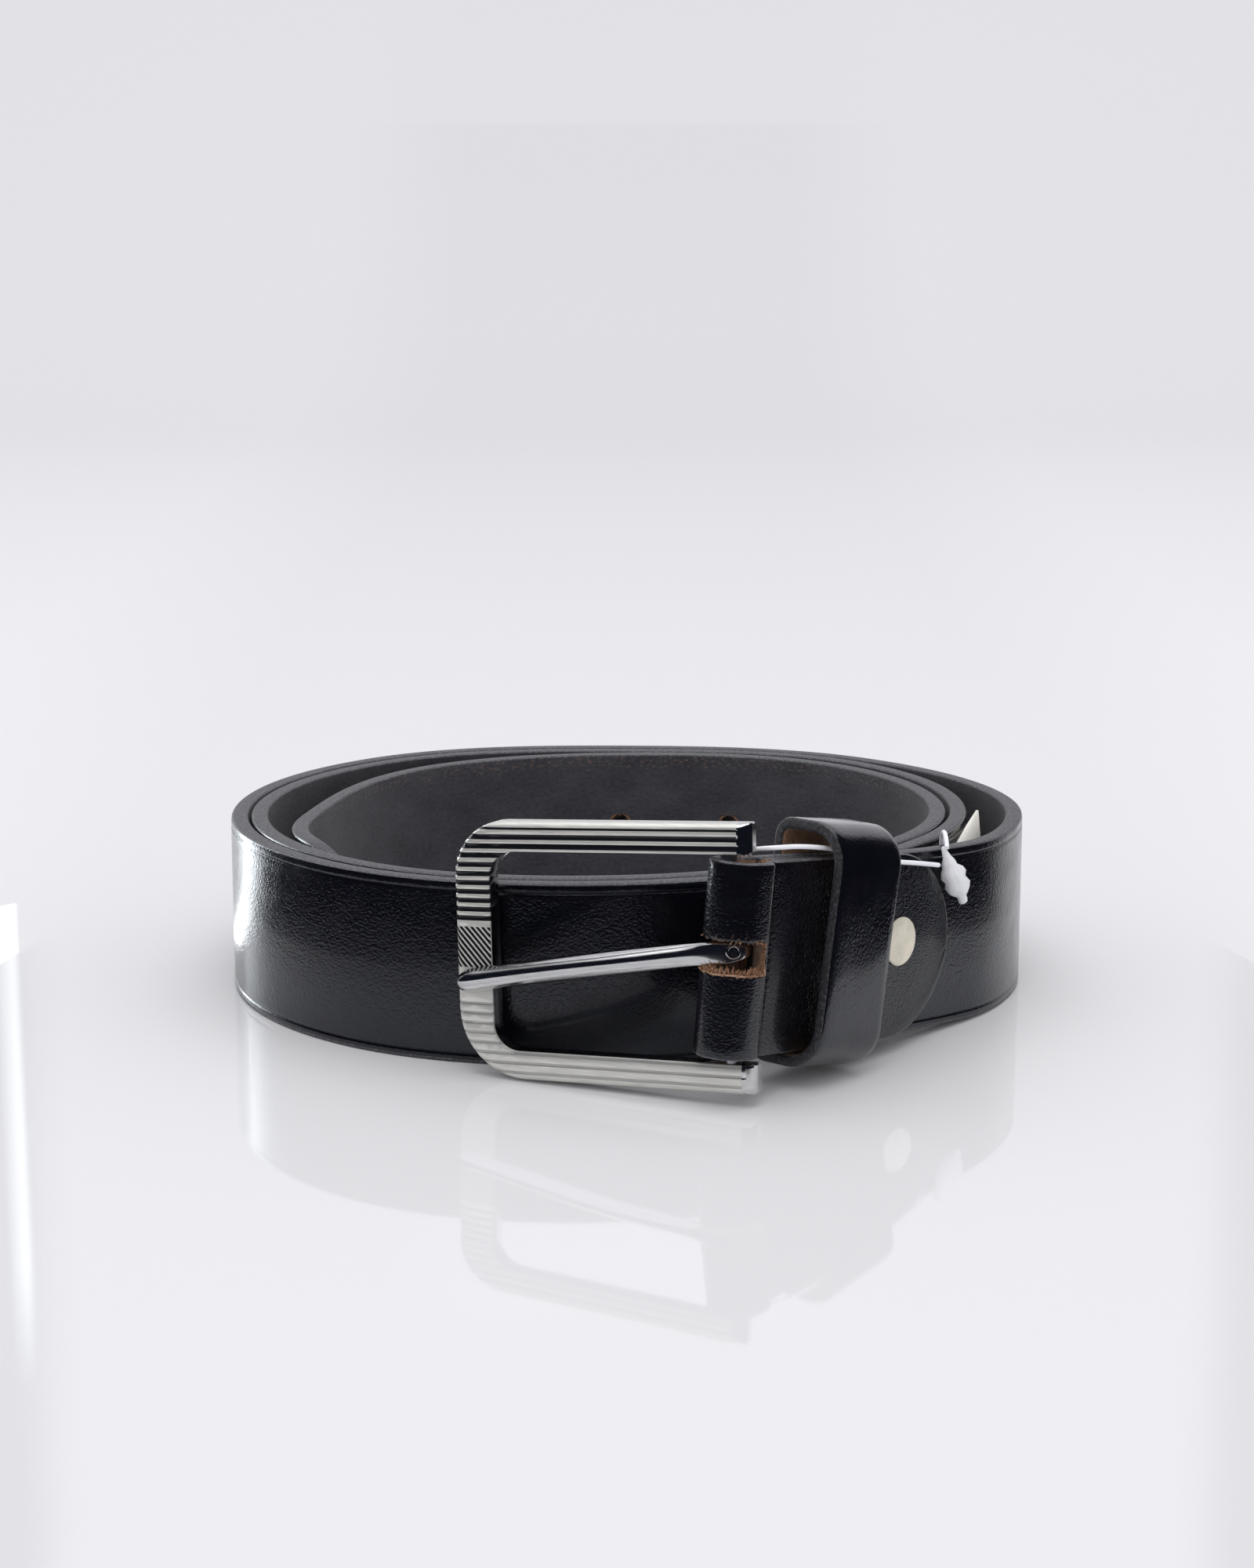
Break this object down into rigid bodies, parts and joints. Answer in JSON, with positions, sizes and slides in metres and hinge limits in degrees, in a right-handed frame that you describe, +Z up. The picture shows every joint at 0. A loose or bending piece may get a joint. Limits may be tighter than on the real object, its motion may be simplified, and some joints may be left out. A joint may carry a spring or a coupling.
{
  "type": "leather belt",
  "caption": "Coiled leather dress belt with a three-sided prong buckle on a riveted folded tab, a leather keeper loop and a hang tag on a plastic loop.",
  "frame": {"origin": "middle of the coiled belt's bounding box, on the surface that it stands on", "axes": "+Z up across the strap's width, the shortest side; +X to the right, along the front of the coil; the buckle is at -Y"},
  "size_m": [0.1631, 0.1708, 0.0516],
  "materials": {
    "strap_leather": "black aniline-finished grain outside, matt charcoal flesh side, burnished edges",
    "chape_leather": "black glossy pebbled leather, raw tan at the cut slot",
    "keeper_leather": "black glossy leather, dark dyed edge, raw tan inside",
    "black_nickel": "polished nickel with engraved dark lines",
    "pin_steel": "plain steel",
    "prong_chrome": "polished chrome",
    "staple_steel": "plain wire",
    "rivet_brass": "pale cream lacquered brass",
    "string_plastic": "white translucent nylon",
    "lock_plastic": "white moulded plastic",
    "card": "cream card"
  },
  "bodies": {
    "belt": {"strap": "strap_leather", "chape": "chape_leather", "rivet_cap_flap": "rivet_brass", "rivet_back_flap": "rivet_brass", "rivet_cap_hidden": "rivet_brass", "rivet_back_hidden": "rivet_brass", "tag_string": "string_plastic", "tag_lock": "lock_plastic", "hang_tag": "card"},
    "frame": {"buckle_frame": "black_nickel", "heel_bar": "pin_steel"},
    "prong": {"prong": "prong_chrome"},
    "keeper": {"keeper": "keeper_leather", "keeper_staple": "staple_steel"}
  },
  "joints": [
    {"name": "frame_swing", "type": "hinge", "parent": "belt", "child": "frame", "pos_m": [0.0185, -0.0776, 0.0269], "axis": [-0.0278, 0.0686, 0.9973], "range_deg": [-1, 80]},
    {"name": "prong_swing", "type": "hinge", "parent": "frame", "child": "prong", "pos_m": [0.0185, -0.0776, 0.0269], "axis": [-0.0278, 0.0686, 0.9973], "range_deg": [0, 48]},
    {"name": "keeper_slide", "type": "slide", "parent": "belt", "child": "keeper", "axis": [0.6465, 0.7516, -0.1305], "range_m": [-0.003, 0.004]}
  ]
}
